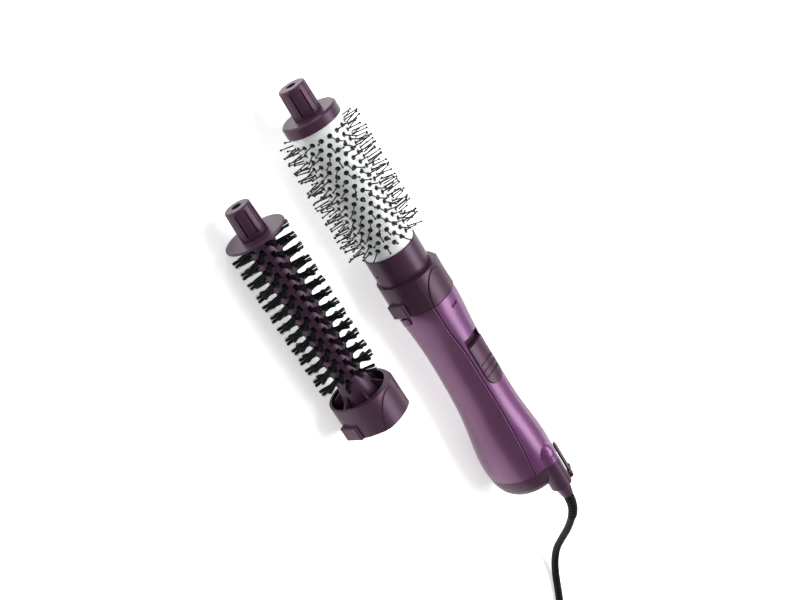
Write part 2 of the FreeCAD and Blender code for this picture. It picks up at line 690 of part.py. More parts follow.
# ---- motor, impeller and heater -------------------------------------------------------
motor_end = motor_x + motor_length
can = rod(motor_x, motor_end, motor_radius).cut(rod(motor_x + 1.5, motor_end - 1.5, 12.4))
save("motor_can", can.cut(rod(motor_x - 1, motor_end + 1, shaft_radius + 0.05)))
save("motor_shaft", rod(motor_x - 1.2, impeller_x + impeller_width + 1.5, shaft_radius))
mount_x = motor_x + 6
mount_end = mount_x + 14
fin_slab = loft(stations, shell_wall + 0.1).common(box(mount_x, mount_end, -40, 40, -40, 40))
fin = box(mount_x, mount_end, 10, 40, -1.0, 1.0)
fins = [turned(fin, angle).common(fin_slab) for angle in (30, 150, 270)]
mount = rod(mount_x, mount_end, motor_radius + 1.6).fuse(fins)
save("motor_mount", mount.cut(rod(mount_x - 1, mount_end + 1, motor_radius)))
blades = []
blade = box(impeller_x, impeller_x + impeller_width, 3.5, impeller_radius, -0.5, 0.5)
blade.rotate(V(impeller_x + impeller_width / 2, 0, 0), AXIS_Y, 32)
for i in range(7):
    blades.append(turned(blade, 360.0 / 7 * i))
impeller = rod(impeller_x, impeller_x + impeller_width, 4.5).fuse(blades)
impeller = impeller.common(rod(impeller_x, impeller_x + impeller_width, impeller_radius))
save("impeller", impeller.cut(rod(impeller_x - 1, impeller_x + 20, shaft_radius)))

heater_end = heater_x + heater_length
save("heater_tube", tube(heater_x, heater_end, heater_radius, heater_radius - 0.5, 0, heater_z))
arm = 9.3
board_x = heater_x + 3
board_end = heater_end - 14
board = box(board_x, board_end, -arm, arm, heater_z - 0.4, heater_z + 0.4)
board = board.fuse(box(board_x, board_end, -0.4, 0.4, heater_z - arm, heater_z + arm))
foot = heater_radius - 0.6
feet = box(board_x, board_x + 3, -foot, foot, heater_z - 0.4, heater_z + 0.4)
more_feet = box(board_end - 3, board_end, -foot, foot, heater_z - 0.4, heater_z + 0.4)
save("heater_board", board.fuse([feet, more_feet]))
coil_wire = 0.5
coil_length = board_end - board_x - 16
helix = Part.makeHelix(coil_length / 9, coil_length, arm + coil_wire + 0.05)
ring = Part.Wire([Part.makeCircle(coil_wire, V(arm + coil_wire + 0.05, 0, 0), AXIS_Y)])
coil = Part.Wire(helix).makePipeShell([ring], True, True)
coil.rotate(V(0, 0, 0), AXIS_Y, 90)
coil.translate(V(board_x + 8, 0, heater_z))
save("heater_coil", coil)
save("thermostat", box(board_end + 0.1, board_end + 3.4, -4.5, 4.5, heater_z - 3.5, heater_z + 3.5))
board_disc = rod(motor_x - 4.4, motor_x - 3.2, 11.0)
legs = [rod(motor_x - 3.3, motor_x - 0.02, 0.8, y, -6) for y in (-6, 6)]
save("diode_board", board_disc.fuse(legs).cut(rod(motor_x - 5, motor_x, 2.0)))
clamp_x = 149.0
clamp = box(clamp_x, band_seam_x - 1.5, -6.5, 6.5, 17.4, 22.0)
save("cord_clamp", clamp)
lead_z = 17.2
leads = [rod(switch_end_x - 4.0, clamp_x - 0.1, 0.9, y, lead_z) for y in (-4.6, 4.6)]
save("power_leads", Part.makeCompound(leads))

# ---- strain relief, cord and plug -----------------------------------------------------
droop = math.radians(relief_droop)


def relief_point(share):
    angle = droop * share
    return V(hood_end_x + relief_bend * math.sin(angle), 0,
             outlet_z - relief_bend * (1 - math.cos(angle)))


def relief_direction(share):
    angle = droop * share
    return V(math.cos(angle), 0, -math.sin(angle))


rings = []
for i in range(7):
    share = i / 6
    radius = relief_radius + (relief_end_radius - relief_radius) * share
    rings.append(Part.Wire([Part.makeCircle(radius, relief_point(share), relief_direction(share))]))
save("cord_guard", Part.makeLoft(rings, True, False))

# The cord's route in the row's frame, from the strain relief to the coil on the table.
cord_start = relief_point(1.0) + to_table
print("cord starts at", cord_start, "towards", relief_direction(1.0))
route = [
    cord_start,
    V(221.9, 40.6, 36.85),
    V(233.0, 40.0, 25.0),
    V(245.5, 38.5, 12.8),
    V(263.0, 34.5, 4.4),
    V(284.0, 24.0, 3.2),
    V(306.0, 8.0, 3.2),
    V(328.0, -11.0, 3.2),
    V(345.5, -17.0, 3.2),
]
coil_centre = V(368.0, 22.0, 0)
coil_mean = 35.0
coil_band = 12.3             # half of the coil's radial width
coil_height = 12.4


def cord_tube(points, radius):
    """Straight runs joined by tangent arcs, as large as the two runs beside each allow."""
    edges = []
    start = points[0]
    for before, corner, after in zip(points, points[1:], points[2:]):
        back = before - corner
        ahead = after - corner
        turn = math.pi - back.getAngle(ahead)
        trim = 0.45 * min(back.Length, ahead.Length)
        arc_radius = trim / math.tan(turn / 2)
        print("cord arc radius %.1f, turn %.0f degrees" % (arc_radius, math.degrees(turn)))
        back.normalize()
        ahead.normalize()
        enter = corner + back * trim
        leave = corner + ahead * trim
        inward = (back + ahead).normalize()
        middle = corner + inward * (arc_radius / math.cos(turn / 2) - arc_radius)
        edges.append(Part.makeLine(start, enter))
        edges.append(Part.Arc(enter, middle, leave).toShape())
        start = leave
    edges.append(Part.makeLine(start, points[-1]))
    path = Part.Wire(edges)
    profile = Part.Wire([Part.makeCircle(radius, points[0], points[1] - points[0])])
    solid = path.makePipeShell([profile], True, False)
    print("cord tube length %.1f, volume %.1f of %.1f" % (
        path.Length, solid.Volume, math.pi * radius ** 2 * path.Length))
    return solid


def save_placed(name, shape):
    shape.exportStep("parts/" + name + ".step")


ring = Part.makeCylinder(coil_mean + coil_band, coil_height, coil_centre, AXIS_Z)
ring = ring.cut(Part.makeCylinder(coil_mean - coil_band, coil_height, coil_centre, AXIS_Z))
ring = ring.makeFillet(3.0, ring.Edges)
save_placed("cord_coil", ring)
tie_y = coil_centre.y + coil_mean
tie = Part.makeBox(7.0, 2 * coil_band + 3.2, coil_height + 1.0,
                   V(coil_centre.x - 3.5, tie_y - coil_band - 1.6, 0.0))
slot = Part.makeBox(9.0, 2 * coil_band + 1.0, coil_height + 0.2,
                    V(coil_centre.x - 4.5, tie_y - coil_band - 0.5, -0.1))
save_placed("coil_tie", tie.cut(slot))

# The plug lies beside the coil, its pins along +Y; a short tail of cord leads to it.
plug_x = coil_centre.x + coil_mean + coil_band - cord_radius
plug_back_y = coil_centre.y + 30.0
plug_guard_length = 20.0
plug_body_length = 30.0
plug_half_width = 17.5
plug_half_height = 13.4
plug_pin_radius = 2.4
plug_pin_length = 19.0
plug_pin_spacing = 19.0
tail_start = V(plug_x, coil_centre.y + 17.0, 10.4)
tail_way = V(plug_x, plug_back_y, plug_half_height) - tail_start
tail = Part.makeCylinder(cord_radius, tail_way.Length, tail_start, tail_way)
save_placed("cord", Part.makeCompound([cord_tube(route, cord_radius), tail]))


def plug_section(y, half_width, half_height):
    """A stadium across Y."""
    round_end = min(half_height, half_width - 0.5)
    straight = half_width - round_end
    z = plug_half_height
    corners = [V(plug_x - straight, y, z + round_end), V(plug_x + straight, y, z + round_end),
               V(plug_x + straight, y, z - round_end), V(plug_x - straight, y, z - round_end)]
    return Part.Wire([
        Part.makeLine(corners[0], corners[1]),
        Part.Arc(corners[1], V(plug_x + half_width, y, z), corners[2]).toShape(),
        Part.makeLine(corners[2], corners[3]),
        Part.Arc(corners[3], V(plug_x - half_width, y, z), corners[0]).toShape(),
    ])


plug_front_y = plug_back_y + plug_guard_length + plug_body_length
shape_steps = [
    (plug_back_y, 3.9, 3.3),
    (plug_back_y + plug_guard_length, 5.4, 4.4),
    (plug_back_y + plug_guard_length + 6.0, 10.5, 8.8),
    (plug_back_y + plug_guard_length + 14.0, 15.5, 12.0),
    (plug_front_y - 6.0, plug_half_width, plug_half_height),
    (plug_front_y, plug_half_width, plug_half_height),
]
plug = Part.makeLoft([plug_section(*step) for step in shape_steps], True, True)
save_placed("plug_body", plug)
pins = []
for side in (-1, 1):
    start = V(plug_x + side * plug_pin_spacing / 2, plug_front_y, plug_half_height)
    pin = Part.makeCylinder(plug_pin_radius, plug_pin_length, start, AXIS_Y)
    end = [edge for edge in pin.Edges
           if edge.BoundBox.YMin > plug_front_y + plug_pin_length - 0.1]
    pins.append(pin.makeFillet(1.2, end))
save_placed("plug_pins", Part.makeCompound(pins))
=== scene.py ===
# %% [markdown]
# # A hot air brush with two heads
#
# This brush blows warm air through a round head. The head in use has a white perforated
# barrel with rows of ball-tipped pins. A second head with fans of bristle lies beside it.
# The CAD model gives every piece its size and place, and this script gives it its looks.

# %% Load the frame and open the toolbox
import math
import random

import bpy
from mathutils import Matrix, Vector


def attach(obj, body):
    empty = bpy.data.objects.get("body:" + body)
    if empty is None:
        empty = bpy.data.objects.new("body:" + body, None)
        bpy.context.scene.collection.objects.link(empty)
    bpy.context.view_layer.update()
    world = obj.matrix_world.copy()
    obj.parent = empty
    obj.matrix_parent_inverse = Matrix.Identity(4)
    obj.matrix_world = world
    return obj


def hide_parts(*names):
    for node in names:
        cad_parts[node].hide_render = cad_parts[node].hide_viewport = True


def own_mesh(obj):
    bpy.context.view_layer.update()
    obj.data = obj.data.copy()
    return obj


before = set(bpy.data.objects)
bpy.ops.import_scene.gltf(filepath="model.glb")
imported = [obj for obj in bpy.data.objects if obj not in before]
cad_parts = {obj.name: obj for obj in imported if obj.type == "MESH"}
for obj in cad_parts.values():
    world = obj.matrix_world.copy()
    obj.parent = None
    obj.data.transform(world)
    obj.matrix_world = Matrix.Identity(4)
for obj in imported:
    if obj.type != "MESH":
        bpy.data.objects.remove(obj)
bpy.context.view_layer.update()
MM = 0.001

# %% [markdown]
# ## Camera, floor and light
#
# A catalogue picture of a long tool is often taken from above with the camera rolled, so
# that the tool lies across the frame. The camera is placed by its own three directions: where
# it looks, its right and its down. A matrix made of those three columns is simpler to get
# right than three angles.

# %% Camera
aim = Vector((-0.01475, 0.03077, 0.020992))
look = Vector((0.414693, 0.614761, -0.670894)).normalized()
down = Vector((0.772531, -0.627456, -0.097440))
down = (down - look * down.dot(look)).normalized()
right = down.cross(look).normalized()
camera_distance = 0.9474
camera_data = bpy.data.cameras.new("camera")
camera_data.lens = 60.75
camera_data.sensor_width = 36.0
camera = bpy.data.objects.new("camera", camera_data)
bpy.context.scene.collection.objects.link(camera)
turn = Matrix((right, -down, -look)).transposed().to_4x4()
camera.matrix_world = Matrix.Translation(aim - look * camera_distance) @ turn
bpy.context.scene.camera = camera
print("camera at", [round(value, 3) for value in camera.location])

# %% [markdown]
# The object lies on a white table that glows a little, as a photographer's light table does,
# so shadows stay faint. A large soft light overhead gives the long highlights that gloss
# plastic needs, and smaller ones at the tip's side and behind draw the edges.

# %% Floor, lights and world
table_side = 8.0
table_glow = 0.55
room_light = 0.32
bpy.ops.mesh.primitive_plane_add(size=table_side, location=(0, 0, 0))
floor = bpy.context.object
floor.name = "table_top"
paper = bpy.data.materials.new("white table")
paper.use_nodes = True
paper_shader = paper.node_tree.nodes["Principled BSDF"]
paper_shader.inputs["Base Color"].default_value = (0.93, 0.93, 0.93, 1)
paper_shader.inputs["Roughness"].default_value = 0.9
paper_shader.inputs["Specular IOR Level"].default_value = 0.1
paper_shader.inputs["Emission Color"].default_value = (1, 1, 1, 1)
paper_shader.inputs["Emission Strength"].default_value = table_glow
floor.data.materials.append(paper)


def soft_light(name, place, target, width, height, power):
    data = bpy.data.lights.new(name, "AREA")
    data.shape = "RECTANGLE"
    data.size = width
    data.size_y = height
    data.energy = power
    light = bpy.data.objects.new(name, data)
    bpy.context.scene.collection.objects.link(light)
    way = Vector(target) - Vector(place)
    light.rotation_euler = way.to_track_quat("-Z", "Y").to_euler()
    light.location = place


soft_light("overhead", (0.15, 0.45, 1.1), (0, 0, 0), 1.4, 0.55, 17)
soft_light("tip_side", (-1.1, 0.0, 0.5), (0, 0, 0.02), 0.4, 0.8, 4)
soft_light("back_rim", (0.2, 1.3, 0.35), (0, 0, 0.02), 1.6, 0.25, 4)
world = bpy.data.worlds.new("white room")
world.use_nodes = True
background = world.node_tree.nodes["Background"]
background.inputs["Color"].default_value = (1, 1, 1, 1)
background.inputs["Strength"].default_value = room_light
bpy.context.scene.world = world
bpy.context.scene.view_settings.view_transform = "Standard"

# %% [markdown]
# ## Helpers for the pieces
#
# An operator works on whatever is selected, so each step starts by deselecting everything.
# A finished piece has its place in its mesh, as the CAD nodes have, so its transform is
# applied before it is given a body to ride on.

# %% Selecting and finishing
def deselect():
    if bpy.context.object and bpy.context.object.mode != "OBJECT":
        bpy.ops.object.mode_set(mode="OBJECT")
    bpy.ops.object.select_all(action="DESELECT")


def pick(*objects):
    deselect()
    for each in objects:
        each.select_set(True)
    bpy.context.view_layer.objects.active = objects[0]


def settle(piece, name, angle=40):
    """Bake the place into the mesh and shade it smooth up to an angle."""
    pick(piece)
    bpy.ops.object.transform_apply(location=True, rotation=True, scale=True)
    bpy.ops.object.shade_smooth_by_angle(angle=math.radians(angle))
    piece.name = name
    piece.data.name = name
    print(name, "has", len(piece.data.polygons), "faces")


# %% [markdown]
# ## Shared effects
#
# Real plastic is never one flat colour. Three effects are used on nearly every finish here:
# colour that drifts a little, polish that hands have dulled in places, and the fine grain of
# the mould. Each is built once as a node group with inputs, and each finish sets its own
# values. The groups give out only colours and values that change over the surface.

# %% A node group starts with its sockets
def new_group(name, inputs, outputs):
    group = bpy.data.node_groups.new(name, "ShaderNodeTree")
    for socket, kind, value in inputs:
        made = group.interface.new_socket(name=socket, in_out="INPUT", socket_type=kind)
        made.default_value = value
    for socket, kind in outputs:
        group.interface.new_socket(name=socket, in_out="OUTPUT", socket_type=kind)
    start = group.nodes.new("NodeGroupInput")
    end = group.nodes.new("NodeGroupOutput")
    place = group.nodes.new("ShaderNodeTexCoord").outputs["Object"]
    return group, start.outputs, end.inputs, place


FLOAT, COLOUR = "NodeSocketFloat", "NodeSocketColor"

# %% Colour that drifts
drift, given, gives, place = new_group(
    "colour drift",
    [("Colour", COLOUR, (0.5, 0.5, 0.5, 1)), ("Deeper", COLOUR, (0.4, 0.4, 0.4, 1)),
     ("Scale", FLOAT, 60.0)],
    [("Colour", COLOUR)])
cloud = drift.nodes.new("ShaderNodeTexNoise")
cloud.inputs["Detail"].default_value = 3
blend = drift.nodes.new("ShaderNodeMix")
blend.data_type = "RGBA"
drift.links.new(place, cloud.inputs["Vector"])
drift.links.new(given["Scale"], cloud.inputs["Scale"])
drift.links.new(cloud.outputs["Fac"], blend.inputs["Factor"])
drift.links.new(given["Colour"], blend.inputs["A"])
drift.links.new(given["Deeper"], blend.inputs["B"])
drift.links.new(blend.outputs["Result"], gives["Colour"])
print("group:", drift.name)

# %% [markdown]
# Polish is worn unevenly: broad smudges from fingers, with fine hairlines over them. The
# hairlines are a noise stretched along the tool, because it slides in and out of a holder
# that way.

# %% Worn polish
hairlines_along, hairlines_across = 60, 1400
polish, given, gives, place = new_group(
    "worn polish",
    [("Roughness", FLOAT, 0.3), ("Spread", FLOAT, 0.1), ("Scale", FLOAT, 40.0)],
    [("Roughness", FLOAT)])
smudge = polish.nodes.new("ShaderNodeTexNoise")
smudge.inputs["Detail"].default_value = 4
stretch = polish.nodes.new("ShaderNodeMapping")
stretch.inputs["Scale"].default_value = (
    hairlines_along, hairlines_across, hairlines_across)
hairline = polish.nodes.new("ShaderNodeTexNoise")
hairline.inputs["Scale"].default_value = 1.0
both = polish.nodes.new("ShaderNodeMath")
both.operation = "ADD"
centred = polish.nodes.new("ShaderNodeMath")
centred.operation = "SUBTRACT"
centred.inputs[1].default_value = 1.0
spread = polish.nodes.new("ShaderNodeMath")
spread.operation = "MULTIPLY_ADD"
polish.links.new(place, smudge.inputs["Vector"])
polish.links.new(place, stretch.inputs["Vector"])
polish.links.new(stretch.outputs["Vector"], hairline.inputs["Vector"])
polish.links.new(given["Scale"], smudge.inputs["Scale"])
polish.links.new(smudge.outputs["Fac"], both.inputs[0])
polish.links.new(hairline.outputs["Fac"], both.inputs[1])
polish.links.new(both.outputs["Value"], centred.inputs[0])
polish.links.new(centred.outputs["Value"], spread.inputs[0])
polish.links.new(given["Spread"], spread.inputs[1])
polish.links.new(given["Roughness"], spread.inputs[2])
polish.links.new(spread.outputs["Value"], gives["Roughness"])
print("group:", polish.name)

# %% [markdown]
# Mould grain is a fine leathery texture etched in the tool steel. Cells give its pebbles and
# a little noise breaks up their order.

# %% Mould grain
grain, given, gives, place = new_group(
    "mould grain", [("Scale", FLOAT, 1800.0), ("Cells", FLOAT, 0.5)], [("Height", FLOAT)])
pebble = grain.nodes.new("ShaderNodeTexVoronoi")
pebble.feature = "SMOOTH_F1"
ripple = grain.nodes.new("ShaderNodeTexNoise")
ripple.inputs["Detail"].default_value = 2
mixed = grain.nodes.new("ShaderNodeMix")
grain.links.new(place, pebble.inputs["Vector"])
grain.links.new(place, ripple.inputs["Vector"])
grain.links.new(given["Scale"], pebble.inputs["Scale"])
grain.links.new(given["Scale"], ripple.inputs["Scale"])
grain.links.new(given["Cells"], mixed.inputs["Factor"])
grain.links.new(ripple.outputs["Fac"], mixed.inputs["A"])
grain.links.new(pebble.outputs["Distance"], mixed.inputs["B"])
grain.links.new(mixed.outputs["Result"], gives["Height"])
print("group:", grain.name)

# %% [markdown]
# ## Finishes
#
# One helper builds a finish from those groups and a Principled shader. What is the same all
# over the surface, such as the coat, is set on the shader's own sockets. Moulded edges are
# never razor sharp, so a Bevel node rounds the shading over the last few tenths of a
# millimetre, which makes edges catch the light as real ones do.

# %% Build a finish
bump_strength = 0.5
bevel_samples = 4


def finish(name, colour, deeper, roughness, spread=0.08, scale=45.0, grain_scale=1800.0,
           cells=0.5, depth=0.02, edge=0.35, **constants):
    made = bpy.data.materials.new(name)
    made.use_nodes = True
    tree = made.node_tree
    shader = tree.nodes["Principled BSDF"]

    def group_node(group, **values):
        node = tree.nodes.new("ShaderNodeGroup")
        node.node_tree = group
        for socket, value in values.items():
            node.inputs[socket].default_value = value
        return node

    tint = group_node(drift, Colour=(*colour, 1), Deeper=(*deeper, 1), Scale=scale)
    shine = group_node(polish, Roughness=roughness, Spread=spread, Scale=scale)
    relief = group_node(grain, Scale=grain_scale, Cells=cells)
    bump = tree.nodes.new("ShaderNodeBump")
    bump.inputs["Strength"].default_value = bump_strength
    bump.inputs["Distance"].default_value = depth * MM
    tree.links.new(relief.outputs["Height"], bump.inputs["Height"])
    if edge:
        soft_edge = tree.nodes.new("ShaderNodeBevel")
        soft_edge.samples = bevel_samples
        soft_edge.inputs["Radius"].default_value = edge * MM
        tree.links.new(soft_edge.outputs["Normal"], bump.inputs["Normal"])
    tree.links.new(tint.outputs["Colour"], shader.inputs["Base Color"])
    tree.links.new(shine.outputs["Roughness"], shader.inputs["Roughness"])
    tree.links.new(bump.outputs["Normal"], shader.inputs["Normal"])
    for socket, value in constants.items():
        shader.inputs[socket.replace("_", " ")].default_value = value
    return made


# %% [markdown]
# The handle has two paints. The cover is a glossy lilac purple under a clear coat. The rear
# shell is a darker purple with metal flake, so it is partly metallic: it goes deep where it
# faces away from the light and bright where it faces it. The plum mouldings are plain
# plastic, and a tinted sheen keeps their highlights from turning grey.

# %% Handle finishes
cover_paint = finish("lilac gloss paint", (0.150, 0.040, 0.145), (0.125, 0.032, 0.122), 0.38,
                     spread=0.05, grain_scale=5200, cells=0.8, depth=0.004, edge=0.7,
                     Metallic=0.45, Coat_Weight=0.35, Coat_Roughness=0.22)
shell_paint = finish("purple flake paint", (0.150, 0.050, 0.125), (0.122, 0.038, 0.100), 0.36,
                     spread=0.06, grain_scale=5200, cells=0.9, depth=0.006, edge=0.8,
                     Metallic=0.6, Coat_Weight=0.35, Coat_Roughness=0.18)
plum_sheen = {"Specular_IOR_Level": 0.36, "Specular_Tint": (1.0, 0.68, 0.94, 1.0)}
plum = finish("satin plum plastic", (0.052, 0.022, 0.043), (0.042, 0.017, 0.034), 0.34,
              grain_scale=2600, depth=0.012, **plum_sheen)
hood_plum = finish("grey plum plastic", (0.060, 0.028, 0.052), (0.048, 0.021, 0.041), 0.38,
                   grain_scale=2600, depth=0.012, **plum_sheen)
button_purple = finish("purple button plastic", (0.11, 0.030, 0.105), (0.085, 0.022, 0.08), 0.30,
                      grain_scale=2600, depth=0.008, Coat_Weight=0.2)
print("handle finishes ready")

# %% [markdown]
# The barrel is aluminium sprayed with a white ceramic coat. It is smooth and slightly waxy,
# with the faint orange peel that a sprayed coat has.

# %% Head finishes
ceramic = finish("white ceramic coat", (0.84, 0.86, 0.855), (0.80, 0.825, 0.82), 0.26,
                 spread=0.06, grain_scale=900, cells=0.1, depth=0.01, edge=0.2,
                 Coat_Weight=0.5, Coat_Roughness=0.08)
nylon = finish("black moulded nylon", (0.010, 0.013, 0.014), (0.006, 0.008, 0.009), 0.40,
               grain_scale=2600, depth=0.01, edge=0.0)
bristle_black = finish("black bristle", (0.004, 0.006, 0.007), (0.008, 0.010, 0.011), 0.45,
                       grain_scale=4000, depth=0.004, edge=0.0, Specular_IOR_Level=0.3)
print("head finishes ready")

# %% [markdown]
# Inside are the parts that make the warm wind. They are seen through gaps and when the tool
# is opened, so they have their own finishes: drawn steel, zinc, mica, resistance wire, nickel,
# circuit board, plain black plastic, wire jacket and filter mesh.

# %% Inner finishes
steel = finish("drawn steel", (0.56, 0.56, 0.57), (0.46, 0.46, 0.47), 0.30, grain_scale=3000,
               cells=0.2, depth=0.004, edge=0.1, Metallic=1.0)
zinc = finish("zinc plated steel", (0.50, 0.51, 0.53), (0.36, 0.38, 0.42), 0.38, scale=220,
              grain_scale=900, cells=0.8, depth=0.01, edge=0.3, Metallic=1.0)
mica = finish("pressed mica", (0.42, 0.36, 0.25), (0.30, 0.25, 0.17), 0.42, scale=400,
              grain_scale=1400, cells=0.7, depth=0.02, edge=0.0, Coat_Weight=0.3)
heater_wire = finish("resistance wire", (0.36, 0.33, 0.30), (0.24, 0.20, 0.18), 0.40,
                     scale=600, depth=0.004, edge=0.0, Metallic=1.0)
nickel = finish("nickel plate", (0.66, 0.63, 0.56), (0.58, 0.55, 0.49), 0.22, grain_scale=3000,
                cells=0.2, depth=0.003, edge=0.2, Metallic=1.0)
board_green = finish("circuit board", (0.03, 0.12, 0.05), (0.02, 0.09, 0.035), 0.35,
                     scale=300, grain_scale=2400, cells=0.3, depth=0.01, edge=0.0)
black_plastic = finish("black engineering plastic", (0.018, 0.018, 0.020),
                       (0.012, 0.012, 0.014), 0.46, grain_scale=2200, depth=0.02, edge=0.25)
jacket = finish("wire jacket", (0.30, 0.025, 0.02), (0.24, 0.018, 0.015), 0.42,
                depth=0.006, edge=0.0)
mesh_grey = finish("filter mesh", (0.16, 0.16, 0.17), (0.09, 0.09, 0.10), 0.5, scale=900,
                   grain_scale=1500, cells=1.0, depth=0.15, edge=0.0, Metallic=0.6)
rubber = finish("black cord rubber", (0.007, 0.005, 0.007), (0.004, 0.003, 0.004), 0.50,
                grain_scale=2000, cells=0.4, depth=0.02, edge=0.0, Specular_IOR_Level=0.12)
print("inner finishes ready")

# %% [markdown]
# Every CAD node gets its finish here by name, so nothing is left with a plain colour. The
# pieces that a finer one stands for are in the list too, as they are still in the frame.

# %% Finish the CAD nodes
combs = ["pin_comb_%d" % number for number in range(1, 7)]
rows = ["bristle_row_%d" % number for number in range(1, 11)]
finishes = [
    (shell_paint, ["rear_shell"]),
    (cover_paint, ["front_cover"]),
    (plum, ["lock_collar", "spare_collar", "end_cap", "tip_knob", "spare_knob", "spare_disc",
            "barrel_sleeve", "end_band", "cord_outlet", "inlet_grille", "switch_plate",
            "switch_slider", "hanging_loop"]),
    (hood_plum, ["guard_hood", "spare_core"]),
    (button_purple, ["release_button"]),
    (ceramic, ["barrel"]),
    (nylon, combs + ["barrel_core", "bristle_carrier", "coil_tie"]),
    (bristle_black, rows),
    (steel, ["shell_screws", "tip_screw", "motor_shaft", "release_spring"]),
    (zinc, ["motor_can"]),
    (mica, ["heater_tube", "heater_board"]),
    (heater_wire, ["heater_coil"]),
    (nickel, ["thermostat", "plug_pins"]),
    (board_green, ["diode_board"]),
    (black_plastic, ["outlet_spigot", "motor_mount", "impeller", "switch_block", "cord_clamp"]),
    (jacket, ["power_leads"]),
    (mesh_grey, ["inlet_filter"]),
    (rubber, ["cord", "cord_coil", "cord_guard", "plug_body"]),
]
for material, names in finishes:
    for name in names:
        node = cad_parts[name]
        node.data.materials.clear()
        node.data.materials.append(material)
bare = set(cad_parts) - {name for _, names in finishes for name in names}
print("CAD nodes without a finish:", sorted(bare))

# %% [markdown]
# ## The cord
#
# The mains lead is a round rubber cord of 6 mm. It leaves the handle through a strain relief,
# bends down to the table and runs away. What is left of its length is put away in a neat flat
# coil held by a strap, with the plug beside it. The coil has two layers: the turns step
# inwards on the table, climb, and step outwards again on top. A cord is a single NURBS spline:
# the points pull it like fingers and it stays smooth between them, a little inside them, so
# the coil's points lie slightly further out than its turns.

# %% The cord's route and its coil
cord_radius = 3.0 * MM
cord_exit = Vector((209.24, 40.6, 46.60)) * MM
route = [tuple(cord_exit)] + [tuple(Vector(point) * MM) for point in (
    (221.9, 40.6, 36.85), (233.0, 40.0, 25.0), (245.5, 38.5, 12.8), (263.0, 34.5, 4.4),
    (284.0, 24.0, 3.2), (306.0, 8.0, 3.2), (328.0, -11.0, 3.2), (345.5, -17.0, 3.2))]
coil_centre = Vector((368.0, 22.0, 0.0)) * MM
outer_turn = 44.3 * MM
turn_step = 6.2 * MM
coil_turns = 7.306
points_per_turn = 20
start_angle = math.radians(-110)
lower_layer, upper_layer = 3.2 * MM, 9.25 * MM
rings_in_layer = 3
move_in, move_up, move_out = (0.80, 0.95), (3.55, 3.85), (4.40, 4.60)
spline_slack = 1.008


def ramp(turn, start, end):
    """How far through the turns from start to end, from 0 to 1."""
    return min(max((turn - start) / (end - start), 0.0), 1.0)


def moves(turn, span):
    """One sideways move in each ring of a layer, each a whole turn after the last."""
    return sum(ramp(turn, ring + span[0], ring + span[1]) for ring in range(rings_in_layer))


coil = []
for step in range(round(coil_turns * points_per_turn) + 1):
    turn = step / points_per_turn
    inward, outward = moves(turn, move_in), moves(turn, move_out)
    radius = (outer_turn - turn_step * (inward - outward)) * spline_slack
    angle = start_angle + turn * 2 * math.pi
    height = lower_layer + (upper_layer - lower_layer) * ramp(turn, *move_up)
    coil.append((coil_centre.x + radius * math.cos(angle),
                 coil_centre.y + radius * math.sin(angle), height))
plug_x = coil_centre.x + outer_turn
tail = [(plug_x, 39.0 * MM, 10.4 * MM), (plug_x, 48.5 * MM, 12.6 * MM),
        (plug_x, 58.0 * MM, 13.4 * MM)]
print("cord points:", len(route) + len(coil) + len(tail))

# %% Lay the cord
cord_data = bpy.data.curves.new("mains_cord", "CURVE")
cord_data.dimensions = "3D"
cord_data.bevel_depth = cord_radius
cord_data.bevel_resolution = 3
cord_data.resolution_u = 6
cord_data.use_fill_caps = True
spline = cord_data.splines.new("NURBS")
cord_points = route + coil + tail
spline.points.add(len(cord_points) - 1)
for point, place in zip(spline.points, cord_points):
    point.co = (*place, 1.0)
spline.order_u = 3
spline.use_endpoint_u = True
cord = bpy.data.objects.new("mains_cord", cord_data)
bpy.context.scene.collection.objects.link(cord)
cord_data.materials.append(rubber)
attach(cord, "handle")
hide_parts("cord", "cord_coil")
print("cord laid")

# %% [markdown]
# ## The strain relief
#
# Where the cord leaves the handle a soft sleeve spreads the bend, so that the wires don't
# break at the edge. It is moulded with ribs and gaps, and tapers towards the cord. One ring
# is extruded again and again along the bend, wider for a rib and narrower for a gap, which is
# quicker than modelling each rib.

# %% Ribbed strain relief
outlet_y, outlet_z = 40.6, 54.6
hood_end_x = 185.75
bend_radius, droop = 38.5, math.radians(37.6)
rib_count = 8
wide_end, narrow_end = 4.15, 3.45
gap_depth = 0.62
rib_profile = ((0.06, 0.0), (0.50, 0.0), (0.60, gap_depth), (0.94, gap_depth))
relief_sides = 28
rib_softness = 0.12 * MM


def relief_place(share):
    """The middle of the sleeve after a share of its bend."""
    turned = droop * share
    return Vector((hood_end_x + bend_radius * math.sin(turned), outlet_y,
                   outlet_z - bend_radius * (1 - math.cos(turned)))) * MM


rings = [(0.0, 0.0)]
for rib in range(rib_count):
    for share, sunk in rib_profile:
        rings.append(((rib + share) / rib_count, sunk))
rings.append((1.0, 0.0))
deselect()
bpy.ops.mesh.primitive_circle_add(
    vertices=relief_sides, radius=wide_end * MM, location=relief_place(0),
    rotation=(0, math.pi / 2, 0), fill_type="NGON")
relief = bpy.context.object
bpy.ops.object.mode_set(mode="EDIT")
bpy.ops.mesh.select_all(action="SELECT")
share, radius = 0.0, wide_end
for next_share, sunk in rings[1:]:
    next_radius = wide_end + (narrow_end - wide_end) * next_share - sunk
    step = relief_place(next_share) - relief_place(share)
    bpy.ops.mesh.extrude_region_move(TRANSFORM_OT_translate={"value": step})
    middle = relief_place(next_share)
    turn_by = droop * (next_share - share)
    bpy.ops.transform.resize(value=(next_radius / radius,) * 3, center_override=middle)
    bpy.ops.transform.rotate(value=-turn_by, orient_axis="Y", center_override=middle)
    share, radius = next_share, next_radius
bpy.ops.mesh.select_all(action="SELECT")
bpy.ops.mesh.normals_make_consistent(inside=False)
bpy.ops.object.mode_set(mode="OBJECT")
soften = relief.modifiers.new("soft ribs", "BEVEL")
